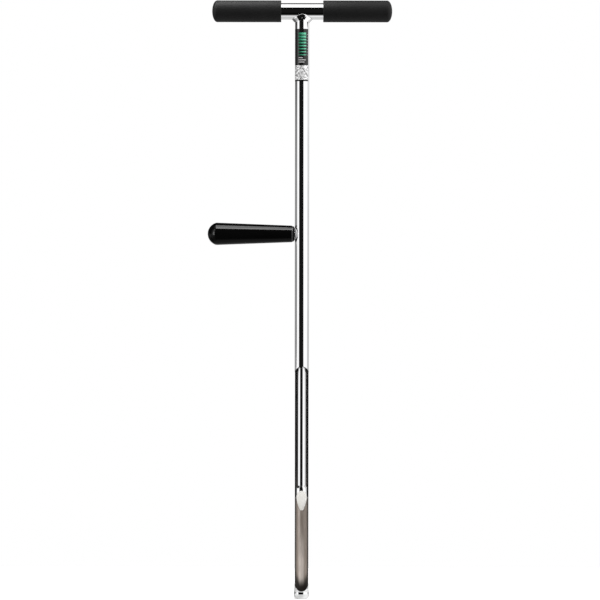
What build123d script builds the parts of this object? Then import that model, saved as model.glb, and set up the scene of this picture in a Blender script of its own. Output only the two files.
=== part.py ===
from build123d import *

import os
from math import cos, radians, sin, sqrt

# A soil probe, in millimetres. The origin is the middle of the cutting edge, +Z runs up the tube,
# the window faces -Y, the crossbar lies along X and the side handle points towards -X.

# Tube and its front window
tube_od = 22.2
tube_wall = 2.77
window_length = 352.9
window_back = 3.0  # the flat sides of the window lie this far behind the tube's axis
window_side_room = 0.1  # the window's round ends are this much wider than the tube, each side
window_foot_height = 14.5  # height of the rounded lower end of the window

# Cutting tip
tip_flare = 1.15  # the tip stands this far out from the tube
tip_nose_length = 6.6
tip_band_length = 3.8
tip_taper_length = 5.6
tip_lip = 0.2  # thickness left at the top of the taper
core_dia = 15.9  # the core that the edge cuts, a little under the tube's bore
edge_land = 0.6  # width of the cutting edge
window_sill = 1.5  # height of the ring left between the tip's band and the window

# Crossbar and grips
crossbar_height = 922.6  # from the cutting edge to the crossbar's axis
crossbar_od = 25.4
crossbar_wall = 2.1
crossbar_length = 270.0
crossbar_weld_leg = 4.0
grip_od = 34.2
grip_length = 108.4
grip_end_wall = 6.4
grip_end_depth = 8.2  # length of the rounded outer end
grip_inner_radius = 0.8

# Wrapped label
label_drop = 28.2  # from the crossbar's axis down to the label's top edge
label_band_length = 56.9
label_panel_length = 25.2
label_thickness = 0.15
label_bare_angle = 100.0  # width of the bare strip that the label leaves, in degrees
label_bare_turn = 107.0  # middle of that strip, from the front round to the right, in degrees

# Deflector rod and head
rod_od = 12.7
rod_end_length = 8.0  # rod above the stop ring
rod_end_chamfer = 1.0
drop_travel = 113.0  # how far the clamped rod can drop before its stop ring lands
stop_ring_od = 16.0
stop_ring_thickness = 1.2
stop_groove_depth = 0.8
core_room = 138.3  # from the cutting edge to the head's toe, where the rod is clamped at rest
toe_thickness = 0.56
chute_radius = 59.1
chute_start_angle = 9.35  # slope of the chute at the toe, from the vertical, in degrees
head_collar = 4.0
head_shoulder = 3.9
spigot_od = 8.0
head_pin_od = 3.0

# Guide sleeves for the rod
guide_bush_length = 30.0
guide_bush_rise = 25.0  # from the top of the window to the sleeve
clamp_bush_length = 44.0

# Side handle and its clamp
handle_height = 572.9  # from the cutting edge to the handle's axis
handle_small_dia = 26.0
handle_large_dia = 35.0
handle_taper_length = 118.9
handle_root_dia = 24.4
handle_root_length = 3.7  # the narrower root next to the tube
handle_root_radius = 3.2
handle_end_radius = 18.0
handle_edge_radius = 1.2
handle_rim_radius = 0.7
handle_gap = 0.5  # between the handle's flat root and the side of the tube
boss_od = 16.0
boss_weld_radius = 2.2
boss_seat_gap = 0.15  # between the boss's flat seat and the handle's root
stud_od = 10.0
stud_in_handle = 30.0
insert_od = 16.0
insert_length = 32.0
insert_recess = 2.4  # handle material left over the insert, at the root
pad_od = 8.0
pad_thickness = 2.6
pad_stem_od = 4.0
pad_stem_length = 5.0

# Clearances
press_room = 0.02  # round pieces that are fixed to each other, each side, and the glue under the label
rod_room = 0.05  # rod in its sleeves and stud in its threads, each side
head_room = 0.15  # head in the tube's bore, each side
pad_room = 0.3  # ahead of the pad, round it, under the stop ring and past the stud's outer end

# Worked out from the sizes above
tube_r = tube_od / 2
bore_r = tube_r - tube_wall
tip_r = tube_r + tip_flare
tip_length = tip_nose_length + tip_band_length + tip_taper_length
window_bottom = tip_nose_length + tip_band_length + window_sill
window_top = window_bottom + window_length
crossbar_r = crossbar_od / 2
grip_r = grip_od / 2
grip_end_x = crossbar_length / 2 + grip_end_wall
label_top = crossbar_height - label_drop
label_split = label_top - label_band_length
rod_r = rod_od / 2
head_r = bore_r - head_room
chute_y = head_r - toe_thickness - chute_radius * cos(radians(chute_start_angle))
chute_z = core_room - chute_radius * sin(radians(chute_start_angle))
chute_top = chute_z + sqrt(chute_radius**2 - (head_r + chute_y) ** 2)
shoulder_z = chute_top + head_collar
rod_bottom = shoulder_z + head_shoulder
pin_z = (chute_top + rod_bottom) / 2
clamp_bush_top = handle_height + clamp_bush_length / 2
stop_ring_z = clamp_bush_top + drop_travel + pad_room
rod_top = stop_ring_z + stop_ring_thickness + rod_end_length
groove_r = rod_r - stop_groove_depth
handle_root_x = -(tube_r + handle_gap)
handle_root_r = handle_root_dia / 2
handle_rim_x = handle_root_x - handle_root_length
handle_rim_r = handle_small_dia / 2
boss_seat_x = handle_root_x + boss_seat_gap
handle_shoulder_x = handle_rim_x - handle_taper_length
handle_shoulder_r = handle_large_dia / 2
end_dome = handle_end_radius - sqrt(handle_end_radius**2 - handle_shoulder_r**2)
insert_x = handle_root_x - insert_recess
pad_face_x = -(rod_r + pad_room)
stud_face_x = pad_face_x - pad_thickness


def along_z(radius, low, high):
    """A round bar about the tube's axis."""
    return Pos(0, 0, low) * Cylinder(radius, high - low, align=(Align.CENTER, Align.CENTER, Align.MIN))


def along_x(radius, low, high, z):
    """A round bar that lies across the tube, at one height."""
    bar = Cylinder(radius, high - low, align=(Align.CENTER, Align.CENTER, Align.MIN))
    return Pos(low, 0, z) * (Rot(0, 90, 0) * bar)


def sleeve(outer, inner, low, high):
    """A round tube about the probe's axis."""
    return along_z(outer, low, high) - along_z(inner, low, high)


def window_cut():
    """The long slot with round ends that opens the front of the tube."""
    half = tube_r + window_side_room
    foot_z = window_bottom + window_foot_height
    head_z = window_top - half
    slot = Pos(0, (foot_z + head_z) / 2) * Rectangle(2 * half, head_z - foot_z)
    slot += Pos(0, head_z) * Circle(half)
    slot += Pos(0, foot_z) * Ellipse(half, window_foot_height)
    return extrude(Plane.XZ.offset(-window_back) * slot, window_back + 2 * tip_r)


def sampler_tube():
    tube = sleeve(tube_r, bore_r, tip_nose_length, crossbar_height)
    cope = along_x(crossbar_r, -tube_od, tube_od, crossbar_height)
    stud_hole = along_x(stud_od / 2 + rod_room, -tube_od, 0, handle_height)
    return tube - cope - stud_hole - window_cut()


def cutting_tip():
    """A rounded nose, a plain band and a taper, with a socket for the end of the tube."""
    edge_r = core_dia / 2 + edge_land
    lip_r = tube_r + tip_lip
    nose = RadiusArc((edge_r, 0), (tip_r, tip_nose_length), nose_radius(edge_r))
    band = Polyline(
        (tip_r, tip_nose_length),
        (tip_r, tip_nose_length + tip_band_length),
        (lip_r, tip_length),
        (tube_r + press_room, tip_length),
        (tube_r + press_room, tip_nose_length),
        (core_dia / 2, tip_nose_length),
        (core_dia / 2, 0),
        (edge_r, 0),
    )
    ring = revolve(Plane.XZ * make_face(nose + band), Axis.Z)
    return ring - window_cut()


def nose_radius(edge_r):
    """Radius of the arc that leaves the band straight down and ends at the cutting edge."""
    run = tip_r - edge_r
    return -(run**2 + tip_nose_length**2) / (2 * run)


def crossbar():
    half = crossbar_length / 2
    outer = along_x(crossbar_r, -half, half, crossbar_height)
    return outer - along_x(crossbar_r - crossbar_wall, -half, half, crossbar_height)


def crossbar_weld():
    """Sloped bead all round the joint of tube and crossbar."""
    reach = crossbar_od + tube_od
    post = along_z(tube_r, crossbar_height - reach, crossbar_height)
    bar = along_x(crossbar_r, -reach, reach, crossbar_height)
    joined = post + bar
    return chamfer(new_edges(post, bar, combined=joined), crossbar_weld_leg) - joined


def grip():
    """Foam sleeve with a closed, rounded outer end, drawn on the +X side."""
    inner_x = grip_end_x - grip_length
    dome_x = grip_end_x - grip_end_depth
    outline = Polyline((grip_end_x, 0), (inner_x, 0), (inner_x, grip_r), (dome_x, grip_r))
    outline += EllipticalCenterArc((dome_x, 0), grip_end_depth, grip_r, start_angle=0, arc_size=90)
    body = revolve(make_face(outline), Axis.X)
    body = fillet(body.edges().filter_by(GeomType.CIRCLE).sort_by(Axis.X)[0], grip_inner_radius)
    body = Pos(0, 0, crossbar_height) * body
    return body - along_x(crossbar_r + press_room, inner_x, crossbar_length / 2, crossbar_height)


def label(low, high):
    """A thin printed skin round the tube, which leaves a bare strip at the right and the back."""
    under = tube_r + press_room
    skin = sleeve(under + label_thickness, under, low, high)
    reach = 2 * tube_od
    ends = [radians(label_bare_turn + side * label_bare_angle / 2) for side in (-1, 1)]
    wedge = Polygon((0, 0), *[(reach * sin(end), -reach * cos(end)) for end in ends], align=None)
    return skin - Pos(0, 0, (low + high) / 2) * extrude(wedge, (high - low) / 2, both=True)


def chute_cut():
    """The round cutter that sweeps the head's face from its toe up to its front."""
    return Pos(0, chute_y, chute_z) * (Rot(0, 90, 0) * Cylinder(chute_radius, 4 * head_r))


def deflector_head():
    """A plug that fills the bore, cut away by the chute and bored for the rod's spigot."""
    profile = Polyline(
        (0, core_room),
        (head_r, core_room),
        (head_r, shoulder_z),
        (rod_r, rod_bottom),
        (0, rod_bottom),
        close=True,
    )
    plug = revolve(Plane.XZ * make_face(profile), Axis.Z) - chute_cut()
    socket = along_z(spigot_od / 2 + press_room, chute_top, rod_bottom)
    return plug - socket - along_x(head_pin_od / 2 + press_room, -head_r, head_r, pin_z)


def deflector_rod():
    """Polished rod with a spigot for the head, cross-drilled for its pin, and a groove for the stop ring."""
    bar = along_z(rod_r, rod_bottom, rod_top)
    bar = chamfer(bar.edges().sort_by(Axis.Z)[-1], rod_end_chamfer)
    bar += along_z(spigot_od / 2, chute_top, rod_bottom)
    bar -= sleeve(rod_od, groove_r, stop_ring_z, stop_ring_z + stop_ring_thickness)
    return bar - along_x(head_pin_od / 2 + press_room, -head_r, head_r, pin_z)


def stop_ring():
    """Open snap ring in the rod's groove, which lands on the clamp sleeve at the rod's lowest place."""
    ring = sleeve(stop_ring_od / 2, groove_r + press_room, stop_ring_z, stop_ring_z + stop_ring_thickness)
    mouth = Pos(0, stop_ring_od / 2, stop_ring_z) * Box(rod_r, stop_ring_od, 4 * stop_ring_thickness)
    return ring - mouth


def head_pin():
    """Cross pin, just short of the head's sides."""
    reach = sqrt(head_r**2 - (head_pin_od / 2) ** 2)
    return along_x(head_pin_od / 2, -reach, reach, pin_z)


def guide_bush():
    low = window_top + guide_bush_rise
    return sleeve(bore_r - press_room, rod_r + rod_room, low, low + guide_bush_length)


def clamp_bush():
    """Sleeve at the clamp, with a side hole that the pad and the stud pass through."""
    low = clamp_bush_top - clamp_bush_length
    bush = sleeve(bore_r - press_room, rod_r + rod_room, low, clamp_bush_top)
    return bush - along_x(stud_od / 2 + pad_room, -tube_od, 0, handle_height)


def beyond_seat():
    """Everything on the handle's side of the boss's flat seat."""
    return along_x(2 * boss_od, -4 * tube_od, boss_seat_x, handle_height)


def boss_blank():
    """Round bar from the tube's axis out past the boss's seat."""
    return along_x(boss_od / 2, handle_rim_x - 2 * boss_weld_radius, 0, handle_height)


def tube_stretch():
    """The solid outline of the tube where the boss sits."""
    return along_z(tube_r, handle_height - 2 * boss_od, handle_height + 2 * boss_od)


def handle_boss():
    """Flat seat on the tube's side, bored for the stud."""
    boss = boss_blank() - tube_stretch() - beyond_seat()
    return boss - along_x(stud_od / 2 + rod_room, -2 * tube_od, 0, handle_height)


def boss_weld():
    """Smooth bead that runs from the boss out on to the tube."""
    joined = tube_stretch() + boss_blank()
    seam = new_edges(tube_stretch(), boss_blank(), combined=joined)
    return fillet(seam, boss_weld_radius) - joined - beyond_seat()


def ring_edge(body, place, radius):
    """The round edge of one radius at one place along X."""
    rings = body.edges().filter_by(GeomType.CIRCLE)
    return rings.sort_by(lambda ring: abs(ring.arc_center.X - place) + abs(ring.radius - radius))[0]


def side_handle():
    """Tapered hand grip with a narrower rounded root next to the tube and a domed end outside."""
    end_x = handle_shoulder_x - end_dome
    end_mid = handle_end_radius * sin(radians(45))
    outline = Polyline(
        (end_x, 0),
        (handle_root_x, 0),
        (handle_root_x, handle_root_r),
        (handle_rim_x, handle_root_r),
        (handle_rim_x, handle_rim_r),
        (handle_shoulder_x, handle_shoulder_r),
    )
    outline += ThreePointArc(
        (handle_shoulder_x, handle_shoulder_r),
        (end_x + handle_end_radius - end_mid, end_mid),
        (end_x, 0),
    )
    body = revolve(make_face(outline), Axis.X)
    for place, radius, size in (
        (handle_shoulder_x, handle_shoulder_r, handle_edge_radius),
        (handle_rim_x, handle_rim_r, handle_rim_radius),
        (handle_root_x, handle_root_r, handle_root_radius),
    ):
        body = fillet(ring_edge(body, place, radius), size)
    body = Pos(0, 0, handle_height) * body
    body -= along_x(insert_od / 2 + press_room, insert_x - insert_length, insert_x, handle_height)
    return body - along_x(stud_od / 2 + press_room, insert_x, 0, handle_height)


def handle_insert():
    """Threaded brass sleeve moulded into the handle."""
    outer = along_x(insert_od / 2, insert_x - insert_length, insert_x, handle_height)
    depth = stud_in_handle + pad_room
    return outer - along_x(stud_od / 2 + press_room, insert_x - depth, insert_x, handle_height)


def clamp_stud():
    """Threaded stud from the handle's insert to the pad, bored for the pad's stem."""
    stud = along_x(stud_od / 2, insert_x - stud_in_handle, stud_face_x, handle_height)
    stem = along_x(pad_stem_od / 2 + press_room, stud_face_x - pad_stem_length, stud_face_x, handle_height)
    return stud - stem


def clamp_pad():
    """Soft pad that presses on the rod."""
    pad = along_x(pad_od / 2, stud_face_x, pad_face_x, handle_height)
    return pad + along_x(pad_stem_od / 2, stud_face_x - pad_stem_length, stud_face_x, handle_height)


right_grip = grip()
nodes = {
    "sampler_tube": sampler_tube(),
    "cutting_tip": cutting_tip(),
    "crossbar": crossbar(),
    "crossbar_weld": crossbar_weld(),
    "right_grip": right_grip,
    "left_grip": mirror(right_grip, Plane.YZ),
    "label_band": label(label_split, label_top),
    "label_panel": label(label_split - label_panel_length, label_split),
    "deflector_rod": deflector_rod(),
    "deflector_head": deflector_head(),
    "head_pin": head_pin(),
    "stop_ring": stop_ring(),
    "guide_bush": guide_bush(),
    "clamp_bush": clamp_bush(),
    "handle_boss": handle_boss(),
    "boss_weld": boss_weld(),
    "side_handle": side_handle(),
    "handle_insert": handle_insert(),
    "clamp_stud": clamp_stud(),
    "clamp_pad": clamp_pad(),
}
os.makedirs("parts", exist_ok=True)
for name, shape in nodes.items():
    export_step(shape, f"parts/{name}.step")
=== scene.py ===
from math import atan2, cos, pi, radians, sin, sqrt

import bpy
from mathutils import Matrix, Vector


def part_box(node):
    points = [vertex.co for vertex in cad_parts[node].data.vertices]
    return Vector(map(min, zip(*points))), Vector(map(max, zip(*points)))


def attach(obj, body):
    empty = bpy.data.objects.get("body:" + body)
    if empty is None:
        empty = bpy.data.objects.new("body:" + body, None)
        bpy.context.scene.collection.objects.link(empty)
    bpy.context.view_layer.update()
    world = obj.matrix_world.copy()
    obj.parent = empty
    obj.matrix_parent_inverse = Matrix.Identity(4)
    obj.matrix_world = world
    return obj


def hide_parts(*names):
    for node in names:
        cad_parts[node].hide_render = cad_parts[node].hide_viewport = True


# A soil probe: chromed tube with a front window, T handle, side handle, sliding deflector and flared tip.
# Lengths are metres and angles are degrees. The window faces -Y and the side handle points towards -X.

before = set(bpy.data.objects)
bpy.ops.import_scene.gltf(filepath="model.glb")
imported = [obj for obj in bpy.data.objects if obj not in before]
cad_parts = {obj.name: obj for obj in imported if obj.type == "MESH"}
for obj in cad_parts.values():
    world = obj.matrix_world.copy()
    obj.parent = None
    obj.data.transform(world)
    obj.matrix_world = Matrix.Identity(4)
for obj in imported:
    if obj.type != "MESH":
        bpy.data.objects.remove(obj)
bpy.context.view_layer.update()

# Sizes read from the frame
tube_low, tube_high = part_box("sampler_tube")
tip_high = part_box("cutting_tip")[1]
bar_low, bar_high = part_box("crossbar")
rod_low, rod_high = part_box("deflector_rod")
head_low, head_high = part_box("deflector_head")
handle_low, handle_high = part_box("side_handle")
boss_low, boss_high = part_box("handle_boss")
stud_low, stud_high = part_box("clamp_stud")
pin_low, pin_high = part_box("head_pin")
tube_r = tube_high.x
tip_r = tip_high.x
bar_r = (bar_high.z - bar_low.z) / 2
bar_z = (bar_high.z + bar_low.z) / 2
rod_r = rod_high.x
head_r = head_high.x
handle_z = (handle_high.z + handle_low.z) / 2
handle_large_r = (handle_high.z - handle_low.z) / 2
stud_r = (stud_high.z - stud_low.z) / 2
pin_z = (pin_high.z + pin_low.z) / 2
pin_r = (pin_high.z - pin_low.z) / 2

# Tube, window and tip
tube_wall = 0.00277
bore_r = tube_r - tube_wall
window_bottom = 0.0119
window_top = 0.3648
window_back = 0.003
window_side_room = 0.0001  # the window's round ends are this much wider than the tube, each side
window_half_width = tube_r + window_side_room
window_foot_height = 0.0145
window_edge = 0.00016
window_foot_chamfer = 0.0009
stud_room = 0.00005
stud_hole_r = stud_r + stud_room
core_r = 0.00795
edge_land = 0.0006
tip_nose_length = tube_low.z
tip_band_length = 0.0038
tip_band_draft = 0.00022  # the band narrows by this much towards the tube
tip_lip = 0.0002
socket_room = 0.00002

# Crossbar, weld and grips
bar_wall = 0.0021
bar_half = bar_high.x
weld_tube_leg = 0.0062  # reach down the tube
weld_side_leg = 0.005  # reach along the crossbar at the sides
weld_front_leg = 0.0014  # reach over the crossbar at the front and back
weld_step = 0.0013  # how steeply the bead stands up from the crossbar at its toe
weld_fullness = 0.0009
weld_sunk = 0.0003
weld_toe_shade = 0.0007  # height of the painted shade line along the bead's toe, for the shadow in the crease
weld_ripples = 34
weld_ripple_height = 0.00005
weld_swell = 0.375  # where the bead swells out, as a share of its leg
weld_root = 0.4  # depth of its hidden root, as a share of its leg
weld_segments = (204, 24)  # round the joint, and round the bead
grip_end_wall = 0.0064
grip_end_depth = 0.0082
grip_inner_radius = 0.0008
grip_end_steps = 28

# Label, by its angle from the front round to the right
label_bare_start = 57.0
label_bare_end = 157.0

# Deflector
head_collar = 0.004
head_shoulder = 0.0039
chute_radius = 0.0591
chute_start_angle = 9.35
chute_corners = 360
pin_corners = 48
pin_ease = 0.2  # of the pin's ends, as a share of its radius
toe_thickness = 0.00056
spigot_r = 0.004
rod_end_chamfer = 0.001
ring_groove_depth = 0.0008
ring_groove_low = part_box("stop_ring")[0].z
ring_groove_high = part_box("stop_ring")[1].z

# Side handle
handle_small_r = 0.013
handle_taper_length = 0.1189
handle_root_r = 0.0122
handle_root_length = 0.0037
handle_root_radius = 0.0032
handle_rim_radius = 0.0007
handle_end_radius = 0.018
handle_edge_length = 0.0008
boss_r = (boss_high.z - boss_low.z) / 2
boss_weld_leg = 0.0016
boss_seat = boss_low.x
boss_seat_shade = 0.0006  # depth of the painted shade ring next to the handle, for the shadowed gap
boss_shade_fade = 0.001
insert_recess = 0.0024
insert_r = 0.008
insert_length = 0.032

# Corners closer than this are merged
join_distance = 0.000002

# Photograph's frame and camera
frame_width = 0.9426  # width of the picture at the probe's axis
lens = 200.0
sensor = 36.0
camera_distance = frame_width * lens / sensor
camera_x = -0.00292
camera_z = 0.4691
camera_roll = 0.075


def clear_selection():
    """Object mode with nothing selected."""
    if bpy.context.object and bpy.context.object.mode != "OBJECT":
        bpy.ops.object.mode_set(mode="OBJECT")
    bpy.ops.object.select_all(action="DESELECT")


def take(piece):
    """Selects one piece alone."""
    clear_selection()
    piece.select_set(True)
    bpy.context.view_layer.objects.active = piece


def added(name):
    """Names the primitive that was just added and puts its place into its mesh."""
    piece = bpy.context.object
    piece.name = name
    bpy.ops.object.transform_apply(location=True, rotation=True, scale=True)
    return piece


def worked(piece, kind, **settings):
    """Adds a modifier, sets it and applies it."""
    take(piece)
    modifier = piece.modifiers.new(kind.lower(), kind)
    for setting, value in settings.items():
        setattr(modifier, setting, value)
    bpy.ops.object.modifier_apply(modifier=modifier.name)


def cut_out(piece, cutter):
    """Takes the cutter's shape out of the piece and throws the cutter away."""
    worked(piece, "BOOLEAN", operation="DIFFERENCE", object=cutter, solver="EXACT")
    bpy.data.objects.remove(cutter)


def eased(piece, width, angle=40.0):
    """Breaks the sharp edges."""
    worked(piece, "BEVEL", width=width, segments=2, limit_method="ANGLE", angle_limit=radians(angle))


def pick(piece, chosen):
    """Edit mode, with the corners selected that a test on their place chooses."""
    take(piece)
    bpy.ops.object.mode_set(mode="EDIT")
    bpy.ops.mesh.select_all(action="DESELECT")
    bpy.ops.object.mode_set(mode="OBJECT")
    for corner in piece.data.vertices:
        corner.select = chosen(corner.co)
    bpy.ops.object.mode_set(mode="EDIT")


def smoothed(piece, angle=20.0):
    take(piece)
    bpy.ops.object.shade_smooth_by_angle(angle=radians(angle))


def arc(centre, radius, start, end, steps):
    """Points on an arc in an outline, from one angle to another."""
    turns = [radians(start + (end - start) * i / steps) for i in range(steps + 1)]
    return [(centre[0] + radius * cos(t), centre[1] + radius * sin(t)) for t in turns]


def lathe(name, outline, along, height=0.0, steps=128):
    """Turns an outline of (radius, place along the axis) about Z, or about X at one height."""
    axis = Vector((0, 0, 1)) if along == "Z" else Vector((1, 0, 0))
    out = Vector((0, -1, 0))
    places = [out * radius + axis * place for radius, place in outline]
    clear_selection()
    bpy.ops.mesh.primitive_plane_add(size=tube_wall, location=places[0])
    piece = added(name)
    bpy.ops.object.mode_set(mode="EDIT")
    bpy.ops.mesh.select_all(action="SELECT")
    bpy.ops.mesh.merge(type="CENTER")
    for here, there in zip(places, places[1:]):
        bpy.ops.mesh.extrude_vertices_move(TRANSFORM_OT_translate={"value": there - here})
    bpy.ops.object.mode_set(mode="OBJECT")
    worked(piece, "SCREW", axis=along, steps=steps, render_steps=steps)
    bpy.ops.transform.translate(value=(0, 0, height))
    bpy.ops.object.transform_apply(location=True, rotation=True, scale=True)
    bpy.ops.object.mode_set(mode="EDIT")
    bpy.ops.mesh.select_all(action="SELECT")
    bpy.ops.mesh.remove_doubles(threshold=join_distance)
    bpy.ops.mesh.normals_make_consistent(inside=False)
    bpy.ops.object.mode_set(mode="OBJECT")
    return piece


def bar_along_x(name, radius, low, high, z, corners=128):
    """A round bar that lies across the tube."""
    clear_selection()
    middle = ((low + high) / 2, 0, z)
    bpy.ops.mesh.primitive_cylinder_add(
        vertices=corners, radius=radius, depth=high - low, location=middle, rotation=(0, pi / 2, 0)
    )
    return added(name)


def window_cutter():
    """The long slot with round ends that opens the tube's front."""
    depth = 4 * tip_r
    clear_selection()
    bpy.ops.mesh.primitive_cylinder_add(
        vertices=192,
        radius=window_half_width,
        depth=depth,
        location=(0, window_back - depth / 2, window_bottom + window_half_width),
        rotation=(pi / 2, 0, 0),
    )
    cutter = added("window_cutter")
    straight = window_top - window_bottom - 2 * window_half_width
    middle = window_bottom + window_half_width + join_distance / 2
    pick(cutter, lambda place: place.z > middle)
    bpy.ops.transform.translate(value=(0, 0, straight))
    pick(cutter, lambda place: place.z < middle)
    stretch_foot()
    return cutter


def stretch_foot():
    """Stretches the picked round end up to the height of the window's foot."""
    taller = window_foot_height / window_half_width
    bpy.ops.transform.resize(value=(1, 1, taller), center_override=(0, 0, window_bottom))
    bpy.ops.object.mode_set(mode="OBJECT")


def sampler_tube():
    """Pipe with the window, the cope under the crossbar and the stud's hole."""
    clear_selection()
    bpy.ops.mesh.primitive_cylinder_add(
        vertices=192,
        radius=tube_r,
        depth=bar_z - tube_low.z,
        end_fill_type="NOTHING",
        location=(0, 0, (bar_z + tube_low.z) / 2),
    )
    tube = added("tube")
    worked(tube, "SOLIDIFY", thickness=tube_wall, offset=-1.0, use_even_offset=True)
    cut_out(tube, bar_along_x("cope", bar_r, -2 * tube_r, 2 * tube_r, bar_z))
    cut_out(tube, bar_along_x("stud_hole", stud_hole_r, -2 * tube_r, 0, handle_z))
    cut_out(tube, window_cutter())
    eased(tube, window_edge)
    smoothed(tube)
    return tube


def cutting_tip():
    """Rounded nose, plain band and taper, cut by the foot of the window."""
    edge_r = core_r + edge_land
    band_top = tip_nose_length + tip_band_length
    run = tip_r - edge_r
    nose_radius = (run**2 + tip_nose_length**2) / (2 * run)
    nose_turn = 2 * atan2(run, tip_nose_length) * 180 / pi
    nose = arc((tip_r - nose_radius, tip_nose_length), nose_radius, -nose_turn, 0, 14)
    taper = [
        (tip_r - tip_band_draft, band_top),
        (tube_r + tip_lip, tip_high.z),
        (tube_r + socket_room, tip_high.z),
        (tube_r + socket_room, tip_nose_length),
        (core_r, tip_nose_length),
        (core_r, 0),
        nose[0],
    ]
    tip = lathe("tip", nose + taper, "Z", steps=160)
    cut_out(tip, window_cutter())
    clear_selection()
    bpy.ops.mesh.primitive_cone_add(
        vertices=192,
        radius1=window_half_width + 2 * window_foot_chamfer,
        radius2=window_half_width,
        depth=2 * window_foot_chamfer,
        location=(0, -tip_r, window_bottom + window_half_width),
        rotation=(-pi / 2, 0, 0),
    )
    sill = added("sill_cutter")
    pick(sill, lambda place: True)
    stretch_foot()
    cut_out(tip, sill)
    eased(tip, window_edge / 2)
    smoothed(tip)
    return tip


def crossbar():
    """Pipe whose ends the grips cover."""
    bar = bar_along_x("bar", bar_r, -bar_half, bar_half, bar_z, corners=192)
    cut_out(bar, bar_along_x("bar_bore", bar_r - bar_wall, -2 * bar_half, 2 * bar_half, bar_z))
    smoothed(bar)
    return bar


def weld_skin(turn, across, branch_r, main_r, legs):
    """A place on a weld's skin, with the branch pipe along +Z and the main pipe along X.

    Turn goes round the branch. Across goes from the toe on the branch, over the bead, to the toe on
    the main pipe.
    """
    branch_leg, front_leg, side_leg = legs
    ripple = weld_ripple_height * sin(weld_ripples * turn)
    branch_out = Vector((sin(turn), -cos(turn), 0))
    aside = -branch_r * cos(turn)
    crease = Vector((branch_r * sin(turn), aside, sqrt(main_r**2 - aside**2)))
    main_out = Vector((0, crease.y, crease.z)).normalized()
    run = branch_out.cross(main_out).normalized()
    up_branch = run.cross(branch_out)
    up_branch *= 1 if up_branch.z > 0 else -1
    over_main = run.cross(main_out)
    over_main *= 1 if over_main.dot(branch_out) > 0 else -1
    main_leg = front_leg + (side_leg - front_leg) * sin(turn) ** 2
    low = crease + branch_leg * up_branch - weld_sunk * branch_out
    high = crease + main_leg * over_main - weld_sunk * main_out
    if across <= 1:
        near_branch = low - weld_swell * branch_leg * up_branch + (weld_fullness + ripple) * branch_out
        near_main = high + (weld_step + ripple) * main_out
        rest = 1 - across
        swell = near_branch * 3 * across * rest**2 + near_main * 3 * across**2 * rest
        return low * rest**3 + swell + high * across**3
    back = crease - weld_root * branch_leg * (branch_out + main_out).normalized()
    share = across - 1
    return high * (1 - share) ** 2 + back * 2 * share * (1 - share) + low * share**2


def weld_ring(name, branch_r, main_r, legs, placed):
    """Rounded bead where one pipe meets another, shaped from a ring."""
    clear_selection()
    bpy.ops.mesh.primitive_torus_add(
        major_segments=weld_segments[0],
        minor_segments=weld_segments[1],
        major_radius=branch_r,
        minor_radius=legs[0] / 2,
    )
    weld = added(name)
    for corner in weld.data.vertices:
        turn = atan2(corner.co.x, -corner.co.y)
        out = sqrt(corner.co.x**2 + corner.co.y**2) - branch_r
        across = atan2(corner.co.z, out) / pi + 0.5
        corner.co = placed(weld_skin(turn, across % 2, branch_r, main_r, legs))
    bpy.ops.object.mode_set(mode="EDIT")
    bpy.ops.mesh.select_all(action="SELECT")
    bpy.ops.mesh.normals_make_consistent(inside=False)
    bpy.ops.object.mode_set(mode="OBJECT")
    smoothed(weld, 50)
    return weld


def crossbar_weld():
    legs = (weld_tube_leg, weld_front_leg, weld_side_leg)
    return weld_ring("weld", tube_r, bar_r, legs, lambda p: Vector((p.x, p.y, bar_z - p.z)))


def handle_boss():
    """Round flat seat on the tube's side."""
    boss = bar_along_x("boss", boss_r, boss_seat, 0, handle_z)
    cut_out(boss, bar_along_x("boss_bore", stud_hole_r, -4 * tube_r, tube_r, handle_z))
    clear_selection()
    bpy.ops.mesh.primitive_cylinder_add(
        vertices=192, radius=tube_r - socket_room, depth=4 * boss_r, location=(0, 0, handle_z)
    )
    cut_out(boss, added("tube_outline"))
    eased(boss, window_edge / 2)
    smoothed(boss)
    return boss


def boss_weld():
    """Low bead round the seat, trimmed flush with it."""
    legs = (boss_weld_leg, boss_weld_leg, boss_weld_leg)
    bead = weld_ring("boss_bead", boss_r, tube_r, legs, lambda p: Vector((-p.z, p.y, handle_z + p.x)))
    cut_out(bead, bar_along_x("beyond_seat", 4 * boss_r, -4 * tube_r, boss_seat, handle_z))
    smoothed(bead, 50)
    return bead


def foam_grip(name, node, side):
    """Foam sleeve with a closed, rounded outer end."""
    low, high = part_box(node)
    radius = (high.z - low.z) / 2
    outer = max(abs(low.x), abs(high.x))
    inner = min(abs(low.x), abs(high.x))
    seat = bar_r + socket_room
    small = grip_inner_radius
    turns = [radians(90 * i / grip_end_steps) for i in range(grip_end_steps + 1)]
    outline = [(radius * sin(t), outer - grip_end_depth * (1 - cos(t))) for t in turns]
    outline += arc((radius - small, inner + small), small, 0, -90, 5)
    outline += [(seat + small, inner)]
    outline += arc((seat + small, inner + small), small, -90, -180, 5)
    outline += [(seat, outer - grip_end_wall), (0, outer - grip_end_wall)]
    grip = lathe(name, [(r, side * x) for r, x in outline], "X", bar_z)
    smoothed(grip, 35)
    return grip


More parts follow.
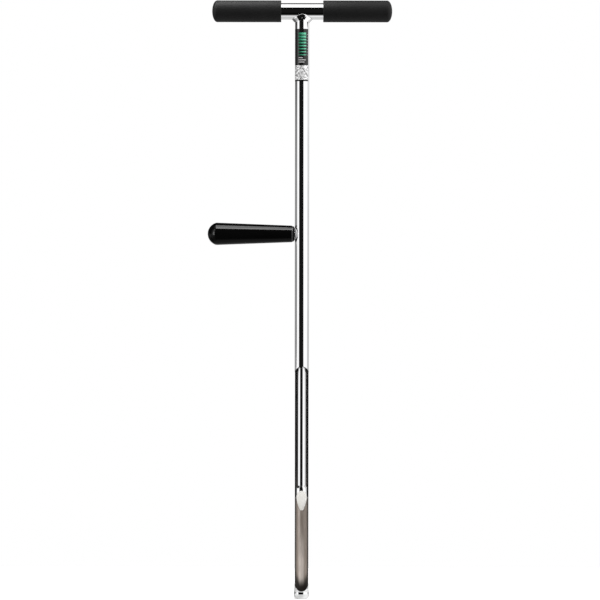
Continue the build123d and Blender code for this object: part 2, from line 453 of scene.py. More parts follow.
def label_skin(name, node):
    """Thin printed skin that leaves a bare strip at the right and the back."""
    low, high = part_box(node)
    skin_r = high.y
    clear_selection()
    bpy.ops.mesh.primitive_cylinder_add(
        vertices=360,
        radius=skin_r,
        depth=high.z - low.z,
        end_fill_type="NOTHING",
        location=(0, 0, (low.z + high.z) / 2),
    )
    skin = added(name)
    bpy.ops.object.mode_set(mode="EDIT")
    bpy.ops.mesh.select_all(action="DESELECT")
    bpy.ops.object.mode_set(mode="OBJECT")
    for face in skin.data.polygons:
        face.select = label_bare_start < atan2(face.center.x, -face.center.y) * 180 / pi < label_bare_end
    bpy.ops.object.mode_set(mode="EDIT")
    bpy.ops.mesh.delete(type="FACE")
    bpy.ops.object.mode_set(mode="OBJECT")
    worked(skin, "SOLIDIFY", thickness=skin_r - tube_r - socket_room, offset=-1.0)
    smoothed(skin)
    return skin


def deflector_rod():
    """Polished rod with its spigot, the ring's groove and a chamfered top."""
    groove_r = rod_r - ring_groove_depth
    outline = [
        (0, rod_low.z),
        (spigot_r, rod_low.z),
        (spigot_r, head_high.z),
        (rod_r, head_high.z),
        (rod_r, ring_groove_low),
        (groove_r, ring_groove_low),
        (groove_r, ring_groove_high),
        (rod_r, ring_groove_high),
        (rod_r, rod_high.z - rod_end_chamfer),
        (rod_r - rod_end_chamfer, rod_high.z),
        (0, rod_high.z),
    ]
    rod = lathe("rod", outline, "Z")
    cut_out(rod, bar_along_x("pin_hole", pin_r + socket_room, -head_r, head_r, pin_z, pin_corners))
    smoothed(rod)
    return rod


def deflector_head():
    """Plug that fills the bore, hollowed in front by the round chute."""
    shoulder_z = head_high.z - head_shoulder
    chute_top = shoulder_z - head_collar
    outline = [
        (0, head_low.z),
        (head_r, head_low.z),
        (head_r, shoulder_z),
        (rod_r, head_high.z),
        (spigot_r + socket_room, head_high.z),
        (spigot_r + socket_room, chute_top),
        (0, chute_top),
    ]
    head = lathe("head", outline, "Z", steps=160)
    lean = radians(chute_start_angle)
    chute_y = head_r - toe_thickness - chute_radius * cos(lean)
    chute_z = head_low.z - chute_radius * sin(lean)
    chute = bar_along_x("chute", chute_radius, -2 * head_r, 2 * head_r, chute_z, chute_corners)
    take(chute)
    bpy.ops.transform.translate(value=(0, chute_y, 0))
    bpy.ops.object.transform_apply(location=True, rotation=True, scale=True)
    cut_out(head, chute)
    hole_r = pin_r + socket_room
    cut_out(head, bar_along_x("pin_hole", hole_r, -2 * head_r, 2 * head_r, pin_z, pin_corners))
    eased(head, window_edge)
    smoothed(head)
    return head


def head_pin():
    """Cross pin with eased ends."""
    reach = pin_high.x
    ease = pin_r * pin_ease
    outline = [(0, -reach), (pin_r - ease, -reach), (pin_r, ease - reach)]
    outline += [(pin_r, reach - ease), (pin_r - ease, reach), (0, reach)]
    pin = lathe("pin", outline, "X", pin_z, steps=pin_corners)
    smoothed(pin)
    return pin


def side_handle():
    """Tapered glossy handle with a narrower rounded root and a domed outer end."""
    root = handle_high.x
    rim = root - handle_root_length
    shoulder = rim - handle_taper_length
    end_centre = handle_low.x + handle_end_radius
    stud_r_out = stud_r + socket_room
    slope = (handle_large_r - handle_small_r) / handle_taper_length
    corner = handle_root_radius
    edge = handle_edge_length
    end_turn = atan2(handle_large_r, end_centre - shoulder) * 180 / pi
    edge_turn = edge / handle_end_radius * 180 / pi
    outline = [(stud_r_out, root)]
    outline += arc((handle_root_r - corner, root - corner), corner, 90, 0, 12)
    outline += [(handle_root_r, rim + socket_room), (handle_root_r, rim)]
    rounding = handle_rim_radius
    outline += arc((handle_small_r - rounding, rim - rounding), rounding, 90, 0, 5)
    outline += [(handle_small_r + slope * edge, rim - rounding - edge)]
    outline += [(handle_large_r - slope * run, shoulder + run) for run in (2 * edge, edge)]
    outline += arc((0, end_centre), handle_end_radius, end_turn - 90 - edge_turn, -90, 40)
    recess = root - insert_recess
    outline += [
        (0, recess - insert_length),
        (insert_r, recess - insert_length),
        (insert_r, recess),
        (stud_r_out, recess),
        (stud_r_out, root),
    ]
    handle = lathe("handle", outline, "X", handle_z, steps=144)
    smoothed(handle, 30)
    return handle


# Node helpers


def feed(tree, socket, value):
    """Links a socket, or sets a plain value."""
    if isinstance(value, bpy.types.NodeSocket):
        tree.links.new(value, socket)
    else:
        socket.default_value = value


def node(tree, kind, inputs=None, **settings):
    made = tree.nodes.new(kind)
    for setting, value in settings.items():
        setattr(made, setting, value)
    for key, value in (inputs or {}).items():
        feed(tree, made.inputs[key], value)
    return made


def calc(tree, operation, *values):
    """One sum on numbers."""
    made = node(tree, "ShaderNodeMath", operation=operation)
    for socket, value in zip(made.inputs, values):
        feed(tree, socket, value)
    return made.outputs[0]


def rise(tree, value, start, end, low=0.0, high=1.0):
    """Goes smoothly from low to high as the value goes from start to end."""
    inputs = {"Value": value, "From Min": start, "From Max": end, "To Min": low, "To Max": high}
    return node(tree, "ShaderNodeMapRange", inputs, interpolation_type="SMOOTHSTEP").outputs[0]


def between(tree, value, low, high, soft):
    """One inside a span and nought outside it, with soft ends."""
    up = rise(tree, value, low - soft, low + soft)
    return calc(tree, "MULTIPLY", up, rise(tree, value, high - soft, high + soft, 1.0, 0.0))


def blended(tree, share, first, second):
    """Mixes two colours."""
    made = node(tree, "ShaderNodeMix", data_type="RGBA")
    feed(tree, made.inputs[0], share)
    feed(tree, made.inputs[6], first)
    feed(tree, made.inputs[7], second)
    return made.outputs[2]


def mixed(tree, share, first, second):
    """Mixes two numbers."""
    made = node(tree, "ShaderNodeMix", data_type="FLOAT")
    feed(tree, made.inputs[0], share)
    feed(tree, made.inputs[2], first)
    feed(tree, made.inputs[3], second)
    return made.outputs[0]


def grain(tree, place, scale, detail=3.0, roughness=0.5):
    inputs = {"Vector": place, "Scale": scale, "Detail": detail, "Roughness": roughness}
    return node(tree, "ShaderNodeTexNoise", inputs).outputs[0]


def stretched(tree, place, scale):
    """The same place with its axes scaled, for grain that runs one way."""
    return node(tree, "ShaderNodeMapping", {"Vector": place, "Scale": scale}).outputs[0]


def bumped(tree, shader, height, strength, distance):
    bump = node(tree, "ShaderNodeBump", {"Height": height, "Strength": strength, "Distance": distance})
    tree.links.new(bump.outputs[0], shader.inputs["Normal"])


def grey(level):
    return (level, level, level, 1.0)


def new_finish(name):
    """A material with its shader and the piece's own coordinates."""
    finish = bpy.data.materials.new(name)
    finish.use_nodes = True
    tree = finish.node_tree
    place = node(tree, "ShaderNodeTexCoord").outputs["Object"]
    return finish, tree, tree.nodes["Principled BSDF"], place


def round_z(tree, place):
    """Distance from the tube's axis, angle round it in degrees from the front, and height."""
    split = node(tree, "ShaderNodeSeparateXYZ", {"Vector": place}).outputs
    flat = calc(tree, "ADD", calc(tree, "POWER", split[0], 2.0), calc(tree, "POWER", split[1], 2.0))
    turn = calc(tree, "ARCTAN2", split[0], calc(tree, "MULTIPLY", split[1], -1.0))
    return calc(tree, "SQRT", flat), calc(tree, "DEGREES", turn), split[2]


# Finishes. Grain scales are per metre, and heights in the bore are above the head's toe.

polish_scale = 2600.0
haze_scale = 18.0
chrome_blue = 0.006  # chrome is this much bluer than grey
tip_bright_rise = 0.0009  # the tip's bright band starts this far above its nose
tip_bright_over = 0.0005  # and ends this far above the plain band
tip_bright_soft = 0.0003
plate_depth = (0.0002, 0.0004)  # the plating ends between these depths
chamber_fade = (0.0175, 0.0245)  # the window's cut edges turn from dull, painted dark, to bright
bore_fade = (0.0275, 0.085)  # the stain in the bore ends; its dark band above the head also serves as painted shade in the gaps beside the rod
bore_ragged = 0.02
streak_sides = (-0.0052, -0.0026)  # pale painted highlight stripe in the chamber
streak_soft = 0.0012
middle_sides = (-0.0046, 0.0034)  # painted highlight down the middle of the chamber, which fades out above
middle_soft = 0.0022
middle_fade = (0.055, 0.125)  # heights above the cutting edge
# painted highlight: the chamber is painted lighter towards its right side
right_fade = (0.0, 0.003)
foot_fade = (0.005, 0.022)  # painted shade at the chamber's foot, above the window's lower end
foot_corner = (0.002, 0.0085)  # the painted shade at the foot climbs at the sides
foot_corner_rise = 0.01
# Soil colours of the chamber: its darker tone, which also serves as painted shade, and a painted
# highlight colour
soil_and_painted_shade = (0.32, 0.27, 0.232, 1.0)
painted_soil_highlight = (0.77, 0.69, 0.63, 1.0)
soil_stain = (0.25, 0.21, 0.18, 1.0)
painted_rim_shade = (0.1, 0.085, 0.077, 1.0)
painted_foot_shade = (0.04, 0.034, 0.03, 1.0)
bare_bore = (0.4, 0.385, 0.365, 1.0)
collar_depth = (0.0003, 0.0001)  # the head's bright collar starts between these depths
shoulder_soft = 0.0001
satin_shade = (0.94, 0.92, 0.865, 1.0)
satin_light = (0.98, 0.965, 0.93, 1.0)
brass_shade = (0.58, 0.4, 0.14, 1.0)
brass_light = (0.78, 0.6, 0.28, 1.0)
rim_highlight_soft = 0.0003


def chrome(name, along, level=0.8):
    """Bright plate with faint polishing lines along the piece and a little haze."""
    finish, tree, shader, place = new_finish(name)
    shader.inputs["Metallic"].default_value = 1.0
    lines = grain(tree, stretched(tree, place, along), polish_scale, 2.0)
    haze = grain(tree, place, haze_scale, 4.0)
    tone = rise(tree, haze, 0.3, 0.75, level - 0.03, level + 0.02)
    blue = calc(tree, "ADD", tone, chrome_blue)
    tint = node(tree, "ShaderNodeCombineColor", {"Red": tone, "Green": tone, "Blue": blue})
    feed(tree, shader.inputs["Base Color"], tint.outputs[0])
    hazy = rise(tree, haze, 0.35, 0.75, 0.03, 0.055)
    rough = calc(tree, "ADD", hazy, calc(tree, "MULTIPLY", lines, 0.02))
    feed(tree, shader.inputs["Roughness"], rough)
    bumped(tree, shader, lines, 0.015, 0.00002)
    return finish


def boss_chrome():
    """Plated weld metal, left rough, with a ring of painted shade next to the handle, where the gap to
    the handle is in shadow.
    """
    finish = chrome("boss_chrome", (1.0, 1.0, 1.0), 0.78)
    tree = finish.node_tree
    shader = tree.nodes["Principled BSDF"]
    shader.inputs["Metallic"].default_value = 0.4
    place = tree.nodes["Texture Coordinate"].outputs["Object"]
    across = node(tree, "ShaderNodeSeparateXYZ", {"Vector": place}).outputs[0]
    # Painted shade: the seat is darkened in a ring next to the handle, for the shadow in the gap.
    seat_shade_end = boss_seat + boss_seat_shade
    seat_shade = rise(tree, across, seat_shade_end, seat_shade_end + boss_shade_fade, 1.0, 0.0)
    plate = shader.inputs["Base Color"].links[0].from_socket
    feed(tree, shader.inputs["Base Color"], blended(tree, seat_shade, plate, grey(0.03)))
    cast = grain(tree, place, 900.0, 3.0)
    feed(tree, shader.inputs["Roughness"], rise(tree, cast, 0.25, 0.75, 0.42, 0.55))
    bumped(tree, shader, cast, 0.15, 0.00008)
    return finish


def weld_chrome():
    """Plated bead with a painted shade line along its toe at both sides of the crossbar, for the shadow
    in the crease.
    """
    finish = chrome("weld_chrome", (1.0, 1.0, 1.0))
    tree = finish.node_tree
    shader = tree.nodes["Principled BSDF"]
    place = tree.nodes["Texture Coordinate"].outputs["Object"]
    split = node(tree, "ShaderNodeSeparateXYZ", {"Vector": place}).outputs
    up = calc(tree, "SUBTRACT", split[2], bar_z)
    squares = calc(tree, "ADD", calc(tree, "POWER", split[1], 2.0), calc(tree, "POWER", up, 2.0))
    from_bar = calc(tree, "SQRT", squares)
    # Painted shade: a dark line on the crossbar along the bead's toe, where the crease is in shadow.
    toe = rise(tree, from_bar, bar_r + weld_toe_shade / 3, bar_r + weld_toe_shade, 1.0, 0.0)
    toe = calc(tree, "MULTIPLY", toe, rise(tree, calc(tree, "ABSOLUTE", split[0]), tube_r / 2, tube_r))
    plate = shader.inputs["Base Color"].links[0].from_socket
    feed(tree, shader.inputs["Base Color"], blended(tree, toe, plate, grey(0.3)))
    return finish


def tip_chrome():
    """Bright band, and a nose that soil has worn to satin."""
    finish = chrome("tip_chrome", (1.0, 1.0, 1.0))
    tree = finish.node_tree
    shader = tree.nodes["Principled BSDF"]
    place = tree.nodes["Texture Coordinate"].outputs["Object"]
    height = round_z(tree, place)[2]
    band_low = tip_nose_length + tip_bright_rise
    band_high = tip_nose_length + tip_band_length + tip_bright_over
    band = between(tree, height, band_low, band_high, tip_bright_soft)
    nose = calc(tree, "SUBTRACT", 1.0, band)
    scratch = grain(tree, stretched(tree, place, (1.0, 1.0, 0.15)), 1300.0, 4.0)
    plate = shader.inputs["Base Color"].links[0].from_socket
    worn_tone = blended(tree, scratch, grey(0.64), grey(0.76))
    feed(tree, shader.inputs["Base Color"], blended(tree, nose, plate, worn_tone))
    polish = shader.inputs["Roughness"].links[0].from_socket
    worn = calc(tree, "MULTIPLY", nose, rise(tree, scratch, 0.25, 0.75, 0.3, 0.42))
    feed(tree, shader.inputs["Roughness"], calc(tree, "ADD", polish, worn))
    feed(tree, shader.inputs["Metallic"], rise(tree, nose, 0.0, 1.0, 1.0, 0.4))
    return finish


def tube_chrome():
    """Chrome outside and on the cut edges, a dull drawn bore inside that soil has stained, with painted
    highlights and painted shade in the chamber.
    """
    finish = chrome("tube_chrome", (1.0, 1.0, 0.02))
    tree = finish.node_tree
    shader = tree.nodes["Principled BSDF"]
    place = tree.nodes["Texture Coordinate"].outputs["Object"]
    radius, _, height = round_z(tree, place)
    toe = head_low.z
    chamber = rise(tree, height, toe + chamber_fade[0], toe + chamber_fade[1], 1.0, 0.0)
    in_front = rise(tree, radius, tube_r - plate_depth[1], tube_r - plate_depth[0], 1.0, 0.0)
    in_bore = rise(tree, radius, bore_r + plate_depth[0], bore_r + plate_depth[1], 1.0, 0.0)
    dulled = calc(tree, "MAXIMUM", in_bore, calc(tree, "MULTIPLY", chamber, in_front))
    drawn = grain(tree, stretched(tree, place, (1.0, 1.0, 0.02)), 420.0, 3.0, 0.5)
    stain = grain(tree, stretched(tree, place, (1.0, 1.0, 0.3)), 150.0, 4.0)
    across = node(tree, "ShaderNodeSeparateXYZ", {"Vector": place}).outputs[0]
    # Painted highlights: a pale stripe, a pale middle and a lighter right side stand in for the light
    # inside the chamber.
    painted_streak = between(tree, across, *streak_sides, streak_soft)
    middle = between(tree, across, *middle_sides, middle_soft)
    middle = calc(tree, "MULTIPLY", middle, rise(tree, height, *middle_fade, 1.0, 0.0))
    light = calc(tree, "MAXIMUM", calc(tree, "MULTIPLY", painted_streak, 0.55), middle)
    light = calc(tree, "MAXIMUM", light, rise(tree, across, *right_fade, 0.0, 0.16))
    light = calc(tree, "MULTIPLY", light, rise(tree, drawn, 0.3, 0.7, 0.8, 1.1))
    soil_and_painted_light = blended(tree, light, soil_and_painted_shade, painted_soil_highlight)
    stain_and_painted_light = blended(tree, rise(tree, stain, 0.35, 0.75, 0.0, 0.35), soil_and_painted_light, soil_stain)
    # Painted shade: the dull cut edges in the chamber are painted dark.
    rim = blended(tree, in_bore, painted_rim_shade, stain_and_painted_light)
    # Painted shade: the chamber darkens towards its foot, and higher up at the sides, as if shadowed by
    # the tip and the walls.
    aside = rise(tree, calc(tree, "ABSOLUTE", across), *foot_corner, 0.0, foot_corner_rise)
    above_foot = calc(tree, "SUBTRACT", height, aside)
    foot = rise(tree, above_foot, window_bottom + foot_fade[0], window_bottom + foot_fade[1])
    chamber_and_painted_shade = blended(tree, foot, painted_foot_shade, rim)
    # Real stain with a ragged edge, whose dark band just above the head also serves as painted shade in
    # the gaps beside the rod.
    ragged = calc(tree, "ADD", height, calc(tree, "MULTIPLY", drawn, bore_ragged))
    bore_stain_and_shade = rise(tree, ragged, toe + bore_fade[0], toe + bore_fade[1], 1.0, 0.0)
    reached = mixed(tree, in_bore, chamber, bore_stain_and_shade)
    bore = blended(tree, reached, bare_bore, chamber_and_painted_shade)
    plate = shader.inputs["Base Color"].links[0].from_socket
    feed(tree, shader.inputs["Base Color"], blended(tree, dulled, plate, bore))
    polish = shader.inputs["Roughness"].links[0].from_socket
    drab = calc(tree, "MULTIPLY", dulled, reached)
    feed(tree, shader.inputs["Metallic"], calc(tree, "SUBTRACT", 1.0, calc(tree, "MULTIPLY", drab, 0.7)))
    dull = rise(tree, drawn, 0.2, 0.8, 0.48, 0.6)
    feed(tree, shader.inputs["Roughness"], mixed(tree, dulled, polish, dull))
    return finish


def head_steel():
    """Bright collar and shoulder above a light satin chute."""
    finish, tree, shader, place = new_finish("head_steel")
    radius, _, height = round_z(tree, place)
    collar = rise(tree, radius, head_r - collar_depth[0], head_r - collar_depth[1])
    shoulder_z = head_high.z - head_shoulder
    shoulder = rise(tree, height, shoulder_z - shoulder_soft, shoulder_z + shoulder_soft)
    bright = calc(tree, "MAXIMUM", collar, shoulder)
    speck = grain(tree, place, 2200.0, 3.0)
    cloud = grain(tree, place, 130.0, 3.0)
    satin = blended(tree, rise(tree, cloud, 0.3, 0.7), satin_shade, satin_light)
    feed(tree, shader.inputs["Base Color"], blended(tree, bright, satin, grey(0.8)))
    feed(tree, shader.inputs["Metallic"], bright)
    dull = rise(tree, speck, 0.25, 0.75, 0.5, 0.62)
    polish = rise(tree, bright, 0.0, 1.0, 1.0, 0.12)
    feed(tree, shader.inputs["Roughness"], calc(tree, "MULTIPLY", dull, polish))
    bumped(tree, shader, speck, 0.06, 0.00005)
    return finish


def plain_steel():
    """Turned steel of the stud, pin and stop ring."""
    finish, tree, shader, place = new_finish("plain_steel")
    shader.inputs["Metallic"].default_value = 1.0
    turned = grain(tree, place, 1800.0, 3.0)
    feed(tree, shader.inputs["Base Color"], blended(tree, turned, grey(0.42), grey(0.62)))
    feed(tree, shader.inputs["Roughness"], rise(tree, turned, 0.2, 0.8, 0.22, 0.4))
    bumped(tree, shader, turned, 0.08, 0.00003)
    return finish


def soft_brass():
    """Turned brass of the insert and the pad."""
    finish, tree, shader, place = new_finish("soft_brass")
    shader.inputs["Metallic"].default_value = 1.0
    turned = grain(tree, stretched(tree, place, (3.0, 1.0, 1.0)), 1500.0, 3.0)
    feed(tree, shader.inputs["Base Color"], blended(tree, turned, brass_shade, brass_light))
    feed(tree, shader.inputs["Roughness"], rise(tree, turned, 0.2, 0.8, 0.2, 0.42))
    bumped(tree, shader, turned, 0.1, 0.00003)
    return finish


def bush_plastic():
    """Turned black acetal of the two sleeves."""
    finish, tree, shader, place = new_finish("bush_plastic")
    turned = grain(tree, stretched(tree, place, (1.0, 1.0, 6.0)), 900.0, 3.0)
    feed(tree, shader.inputs["Base Color"], blended(tree, turned, grey(0.012), grey(0.03)))
    feed(tree, shader.inputs["Roughness"], rise(tree, turned, 0.2, 0.8, 0.4, 0.6))
    bumped(tree, shader, turned, 0.1, 0.00003)
    return finish


def grip_foam():
    """Matte closed-cell foam with a fine pebbled skin."""
    finish, tree, shader, place = new_finish("grip_foam")
    cells = node(tree, "ShaderNodeTexVoronoi", {"Vector": place, "Scale": 1500.0}).outputs["Distance"]
    skin = grain(tree, place, 1400.0, 4.0, 0.6)
    cloud = grain(tree, place, 45.0, 3.0)
    height = calc(tree, "ADD", calc(tree, "MULTIPLY", cells, 1.6), skin)
    tone = blended(tree, rise(tree, cloud, 0.3, 0.7), grey(0.005), grey(0.007))
    pebbles = rise(tree, skin, 0.3, 0.7)
    feed(tree, shader.inputs["Base Color"], blended(tree, pebbles, tone, grey(0.0095)))
    feed(tree, shader.inputs["Roughness"], rise(tree, cells, 0.0, 0.8, 0.5, 0.6))
    shader.inputs["IOR"].default_value = 1.22
    bumped(tree, shader, height, 0.2, 0.00003)
    return finish


def handle_black():
    """Glossy moulded phenolic with faint flow marks, handling scuffs and a painted highlight along the
    rim.
    """
    finish, tree, shader, place = new_finish("handle_black")
    flow = grain(tree, stretched(tree, place, (0.15, 1.0, 1.0)), 90.0, 3.0)
    scuff = grain(tree, stretched(tree, place, (0.3, 1.0, 1.0)), 700.0, 5.0, 0.65)
    across = node(tree, "ShaderNodeSeparateXYZ", {"Vector": place}).outputs[0]
    rim = handle_high.x - handle_root_length
    # Painted highlight: a light line round the rim's edge, made uneven by the scuffs.
    painted_rim_highlight = between(tree, across, rim - handle_rim_radius, rim + handle_rim_radius, rim_highlight_soft)
    painted_rim_highlight = calc(tree, "MULTIPLY", painted_rim_highlight, rise(tree, scuff, 0.3, 0.6, 0.7, 1.0))
    moulded = blended(tree, flow, grey(0.001), grey(0.003))
    feed(tree, shader.inputs["Base Color"], blended(tree, painted_rim_highlight, moulded, grey(0.075)))
    feed(tree, shader.inputs["Roughness"], rise(tree, scuff, 0.4, 0.75, 0.05, 0.1))
    shader.inputs["IOR"].default_value = 1.15
    bumped(tree, shader, flow, 0.03, 0.0003)
    return finish


label_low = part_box("label_panel")[0].z
label_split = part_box("label_band")[0].z
label_foot = 0.0024  # dark edge along the bottom of the pale panel
label_join = 0.0003  # dark line along its top
print_soft = 0.00012  # blur of the print's level edges, and of its upright ones in degrees
print_soft_turn = 1.0
bars = 8
bars_rise = 0.0155  # lengths on the dark part start at its lower edge
bar_step = 0.0046
bar_height = 0.0012
bar_growth = 0.0003  # each bar is this much taller than the one below
bar_sides = (-32, 34)
tick_height = 0.0008
tick_sides = (44, 52)
rules = ((0.0108, (-30, 6)), (0.0074, (-30, 30)), (0.004, (-30, 18)))  # heights and sides
rule_height = 0.0014
mint = (0.12, 0.49, 0.31, 1.0)
leaf = (0.003, 0.115, 0.055, 1.0)
ink = grey(0.006)
pale = grey(0.42)


def printed_vinyl(name):
    """Start of a printed label finish: shader, angle round the tube and height."""
    finish, tree, shader, place = new_finish(name)
    _, turn, height = round_z(tree, place)
    wear = grain(tree, place, 380.0, 4.0)
    feed(tree, shader.inputs["Roughness"], rise(tree, wear, 0.3, 0.75, 0.12, 0.22))
    shader.inputs["IOR"].default_value = 1.5
    bumped(tree, shader, wear, 0.03, 0.0001)
    return finish, tree, shader, turn, height


def patch(tree, turn, height, sides, ends):
    """A rectangle on the label, between two angles and two heights."""
    across = between(tree, turn, sides[0], sides[1], print_soft_turn)
    return calc(tree, "MULTIPLY", across, between(tree, height, ends[0], ends[1], print_soft))


def label_dark():
    """Black label with a ladder of level green bars, ticks beside it and plain pale rules."""
    finish, tree, shader, turn, height = printed_vinyl("label_dark")
    colour = ink
    bars_low = label_split + bars_rise
    # The bars are printed from dark green at the left to mint at the right; the mint right side is also a
    # painted reflection of the right panel.
    tint = blended(tree, rise(tree, turn, *bar_sides), leaf, mint)
    for i in range(bars):
        low = bars_low + i * bar_step
        bar = patch(tree, turn, height, bar_sides, (low, low + bar_height + bar_growth * i))
        colour = blended(tree, bar, colour, tint)
        tick = patch(tree, turn, height, tick_sides, (low, low + tick_height))
        colour = blended(tree, tick, colour, grey(0.35))
    for low, sides in rules:
        rule = patch(tree, turn, height, sides, (label_split + low, label_split + low + rule_height))
        colour = blended(tree, rule, colour, pale)
    feed(tree, shader.inputs["Base Color"], colour)
    return finish


def label_pale():
    """Silver label with a plain mosaic of small blocks and a dark foot."""
    finish, tree, shader, turn, height = printed_vinyl("label_pale")
    along = calc(tree, "MULTIPLY", turn, radians(1) * tube_r * 1000)
    up = calc(tree, "MULTIPLY", height, 1000.0)
    spot = node(tree, "ShaderNodeCombineXYZ", {"X": along, "Y": up}).outputs[0]
    blocks = node(tree, "ShaderNodeTexBrick", {
        "Vector": spot,
        "Color1": grey(0.88),
        "Color2": grey(0.01),
        "Mortar": grey(0.6),
        "Scale": 1.0,
        "Mortar Size": 0.08,
        "Brick Width": 2.3,
        "Row Height": 1.75,
        "Bias": -0.12,
    }).outputs[0]
    panel = between(tree, height, label_low + label_foot, label_split - label_join, print_soft)
    feed(tree, shader.inputs["Base Color"], blended(tree, panel, ink, blocks))
    shader.inputs["Metallic"].default_value = 0.2
    return finish


# Pieces on their bodies

along_z = (1.0, 1.0, 0.02)
along_x = (0.02, 1.0, 1.0)
bar_chrome = chrome("bar_chrome", along_x)
weld_finish = weld_chrome()
rod_chrome = chrome("rod_chrome", along_z, 0.78)
boss_finish = boss_chrome()
foam = grip_foam()
steel = plain_steel()
brass = soft_brass()
acetal = bush_plastic()

handle_piece = side_handle()
grip_pieces = [foam_grip("grip_right", "right_grip", 1), foam_grip("grip_left", "left_grip", -1)]
pieces = [
    (sampler_tube(), "sampler_tube", "probe_body", tube_chrome()),
    (cutting_tip(), "cutting_tip", "probe_body", tip_chrome()),
    (crossbar(), "crossbar", "probe_body", bar_chrome),
    (crossbar_weld(), "crossbar_weld", "probe_body", weld_finish),
    (grip_pieces[0], "right_grip", "probe_body", foam),
    (grip_pieces[1], "left_grip", "probe_body", foam),
    (label_skin("label_upper", "label_band"), "label_band", "probe_body", label_dark()),
    (label_skin("label_lower", "label_panel"), "label_panel", "probe_body", label_pale()),
    (handle_boss(), "handle_boss", "probe_body", boss_finish),
    (boss_weld(), "boss_weld", "probe_body", boss_finish),
    (deflector_rod(), "deflector_rod", "deflector", rod_chrome),
    (deflector_head(), "deflector_head", "deflector", head_steel()),
    (head_pin(), "head_pin", "deflector", steel),
    (handle_piece, "side_handle", "handle", handle_black()),
]
for piece, stands_for, body, finish in pieces:
    piece.data.materials.append(finish)
    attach(piece, body)
    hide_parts(stands_for)

kept_nodes = {
    "stop_ring": steel,
    "clamp_stud": steel,
    "guide_bush": acetal,
    "clamp_bush": acetal,
    "clamp_pad": brass,
    "handle_insert": brass,
}
for kept, finish in kept_nodes.items():
    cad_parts[kept].data.materials.clear()
    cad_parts[kept].data.materials.append(finish)


# Floor, light and camera

floor_front = -0.06
floor_back = 0.6
floor_half_width = 1.2
floor_glow = 0.3


def pale_floor():
    clear_selection()
    bpy.ops.mesh.primitive_plane_add(size=1.0, location=(0, (floor_front + floor_back) / 2, 0))
    floor = bpy.context.object
    floor.name = "floor"
    floor.scale = (2 * floor_half_width, floor_back - floor_front, 1.0)
    finish = bpy.data.materials.new("floor_white")
    finish.use_nodes = True
    shader = finish.node_tree.nodes["Principled BSDF"]
    shader.inputs["Base Color"].default_value = grey(0.9)
    shader.inputs["Roughness"].default_value = 1.0
    shader.inputs["Specular IOR Level"].default_value = 0.0
    shader.inputs["Emission Color"].default_value = grey(1.0)
    shader.inputs["Emission Strength"].default_value = floor_glow
    floor.data.materials.append(finish)
    floor.visible_glossy = False


front_left = -48.5
front_right = 28.0
left_end = -85.0
left_low_end = -114.0  # the left panel reaches further round below the window's top
right_end = 97.0
behind_start = 160.0
side_level = 1.28
front_level = 0.009
back_left_level = (0.33, 0.06)  # near the horizon, and a little above it
back_right_level = (0.66, 0.95)
behind_level = 0.06
below_level = 1.15
below_back_level = 0.78
low_left_level = 0.15  # low behind, on the left
above_start = 62.0
above_level = 0.15
panel_middle = 2.0
panel_half_height = 17.0
right_half_height = 40.0  # the right panel is taller
panel_fade = (1.0, 2.4)  # the panels fade between these shares of their half height
panel_faded = 0.3
panel_soft = 2
left_soft = 4
left_low_lift = (-1.4, -1.0)  # lifts are angles above the horizon
back_left_lift = (2.0, 5.0)
back_right_lift = (-2.0, 4.0)
away_turn = (85, 95)
low_left_turn = (-152, -92)
low_left_soft = 5
low_left_lift = (-62, -46)
ground_front_lift = (-84, -52)
ground_back_lift = (-30, -12)
above_soft = 3
softbox_front = -0.183
softbox_back = 0.078
softbox_height = 1.152
softbox_width = 1.2
softbox_glow = 1.5
lamp_gap = 0.01
overhead_size = (2.6, 1.1)
overhead_place = (0, -0.1, 1.7)
overhead_fill = 3.0
front_size = (2.0, 1.6)
front_place = (0, -3.0, 0.6)
front_fill = 3.7
handle_lamp_lift = 0.28
handle_lamp_width = 0.3
handle_lamp_strips = ((-0.2, -0.105, 40.0), (-0.105, 0.03, 19.0))  # front, back and glow
handle_card_turn = -55.0
handle_card_reach = 0.6
handle_card_width = 0.2
handle_cards = ((-0.12, 0.17, 17.0), (0.17, 0.6, 5.0))  # bottom, top and glow
grip_strip = (-0.1, 0.06, 8.4)
grip_strip_x = -0.36
grip_strip_width = 0.7


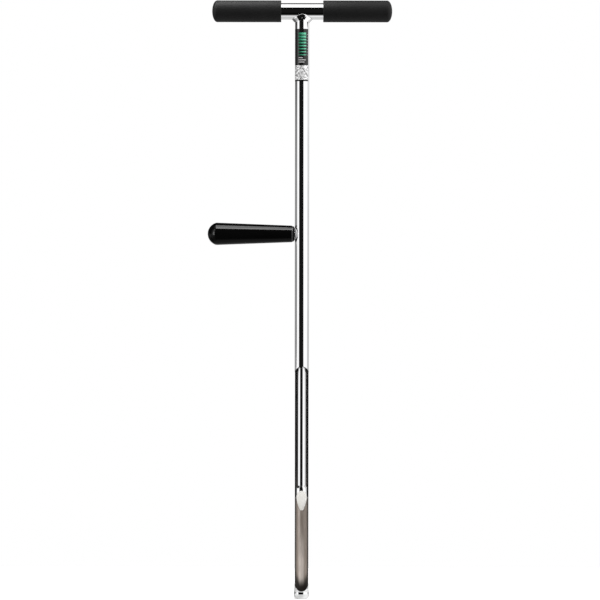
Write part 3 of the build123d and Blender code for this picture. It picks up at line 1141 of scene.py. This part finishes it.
def studio():
    """White panels left and right, a dark gap in front, greys behind and a pale ground below."""
    world = bpy.data.worlds.new("studio")
    world.use_nodes = True
    bpy.context.scene.world = world
    tree = world.node_tree
    way = node(tree, "ShaderNodeTexCoord").outputs["Generated"]
    split = node(tree, "ShaderNodeSeparateXYZ", {"Vector": way}).outputs
    turn = calc(tree, "DEGREES", calc(tree, "ARCTAN2", split[0], calc(tree, "MULTIPLY", split[1], -1.0)))
    lift = calc(tree, "DEGREES", calc(tree, "ARCSINE", split[2]))
    left = calc(tree, "SUBTRACT", turn, rise(tree, lift, *left_low_lift, left_low_end, left_end))
    back_left = rise(tree, lift, *back_left_lift, *back_left_level)
    back_right = rise(tree, lift, *back_right_lift, *back_right_level)
    level = behind_level
    for where, after, soft in (
        (calc(tree, "ADD", turn, behind_start), back_left, panel_soft),
        (left, side_level, left_soft),
        (calc(tree, "SUBTRACT", turn, front_left), front_level, panel_soft),
        (calc(tree, "SUBTRACT", turn, front_right), side_level, panel_soft),
        (calc(tree, "SUBTRACT", turn, right_end), back_right, panel_soft),
        (calc(tree, "SUBTRACT", turn, behind_start), behind_level, panel_soft),
    ):
        level = mixed(tree, rise(tree, where, -soft, soft), level, after)
    tall = calc(tree, "ABSOLUTE", calc(tree, "SUBTRACT", lift, panel_middle))
    at_right = between(tree, turn, front_right, right_end, panel_soft)
    reach = calc(tree, "DIVIDE", tall, mixed(tree, at_right, panel_half_height, right_half_height))
    level = calc(tree, "MULTIPLY", level, rise(tree, reach, *panel_fade, 1.0, panel_faded))
    away = rise(tree, calc(tree, "ABSOLUTE", turn), *away_turn)
    ground = rise(tree, away, 0.0, 1.0, below_level, below_back_level)
    corner = between(tree, turn, *low_left_turn, low_left_soft)
    corner = calc(tree, "MULTIPLY", corner, rise(tree, lift, *low_left_lift))
    ground = mixed(tree, corner, ground, low_left_level)
    ahead = calc(tree, "SUBTRACT", 1.0, away)
    front_share = calc(tree, "MULTIPLY", rise(tree, lift, *ground_front_lift, 1.0, 0.0), ahead)
    back_share = calc(tree, "MULTIPLY", rise(tree, lift, *ground_back_lift, 1.0, 0.0), away)
    below = calc(tree, "ADD", front_share, back_share)
    above = rise(tree, lift, above_start - above_soft, above_start + above_soft)
    level = mixed(tree, above, mixed(tree, below, level, ground), above_level)
    seen = node(tree, "ShaderNodeLightPath").outputs["Is Camera Ray"]
    background = tree.nodes["Background"]
    feed(tree, background.inputs["Color"], grey(1.0))
    feed(tree, background.inputs["Strength"], mixed(tree, seen, level, 1.0))


def lamp(name, size, place, tilt, glow, shiny=True, only=(), turn=0.0):
    """Soft rectangular lamp that shines one way.

    It can stay out of the reflections, or show in those of some pieces only.
    """
    data = bpy.data.lights.new(name, "AREA")
    data.shape = "RECTANGLE"
    data.size, data.size_y = size
    data.energy = glow * pi * size[0] * size[1]
    made = bpy.data.objects.new(name, data)
    made.location = place
    made.rotation_euler = (radians(tilt), 0, radians(turn))
    made.visible_camera = False
    made.visible_glossy = shiny
    bpy.context.scene.collection.objects.link(made)
    if only:
        lit = bpy.data.collections.new(name + "_lights")
        for piece in only:
            lit.objects.link(piece)
        made.light_linking.receiver_collection = lit
        made.visible_diffuse = False


def lamps():
    """Softbox and wide fill overhead, a fill in front, and strips and cards for the handle and grips."""
    depth = softbox_back - softbox_front
    middle = (0, (softbox_front + softbox_back) / 2, softbox_height)
    lamp("softbox", (softbox_width, depth), middle, 0, softbox_glow)
    lamp("overhead_fill", overhead_size, overhead_place, 0, overhead_fill, shiny=False)
    lamp("front_fill", front_size, front_place, 90, front_fill, shiny=False)
    across = (handle_low.x + handle_high.x) / 2
    for front, back, glow in handle_lamp_strips:
        place = (across, (front + back) / 2, handle_z + handle_lamp_lift)
        lamp("handle_strip", (handle_lamp_width, back - front), place, 0, glow, only=[handle_piece])
    aside = radians(handle_card_turn)
    for low, high, glow in handle_cards:
        card_x = handle_low.x + handle_card_reach * sin(aside)
        place = (card_x, -handle_card_reach * cos(aside), handle_z + (low + high) / 2)
        size = (handle_card_width, high - low)
        lamp("handle_card", size, place, 90, glow, only=[handle_piece], turn=handle_card_turn)
    front, back, glow = grip_strip
    place = (grip_strip_x, (front + back) / 2, softbox_height + lamp_gap)
    lamp("grip_strip", (grip_strip_width, back - front), place, 0, glow, only=grip_pieces)


def photo_camera():
    """Level camera straight in front, with a long lens."""
    data = bpy.data.cameras.new("camera")
    data.lens = lens
    data.sensor_width = sensor
    data.clip_end = 100.0
    camera = bpy.data.objects.new("camera", data)
    camera.location = (camera_x, -camera_distance, camera_z)
    camera.rotation_euler = (pi / 2, 0, 0)
    camera.rotation_euler.rotate_axis("Z", radians(camera_roll))
    bpy.context.scene.collection.objects.link(camera)
    bpy.context.scene.camera = camera


pale_floor()
studio()
lamps()
photo_camera()
bpy.context.scene.view_settings.view_transform = "Standard"
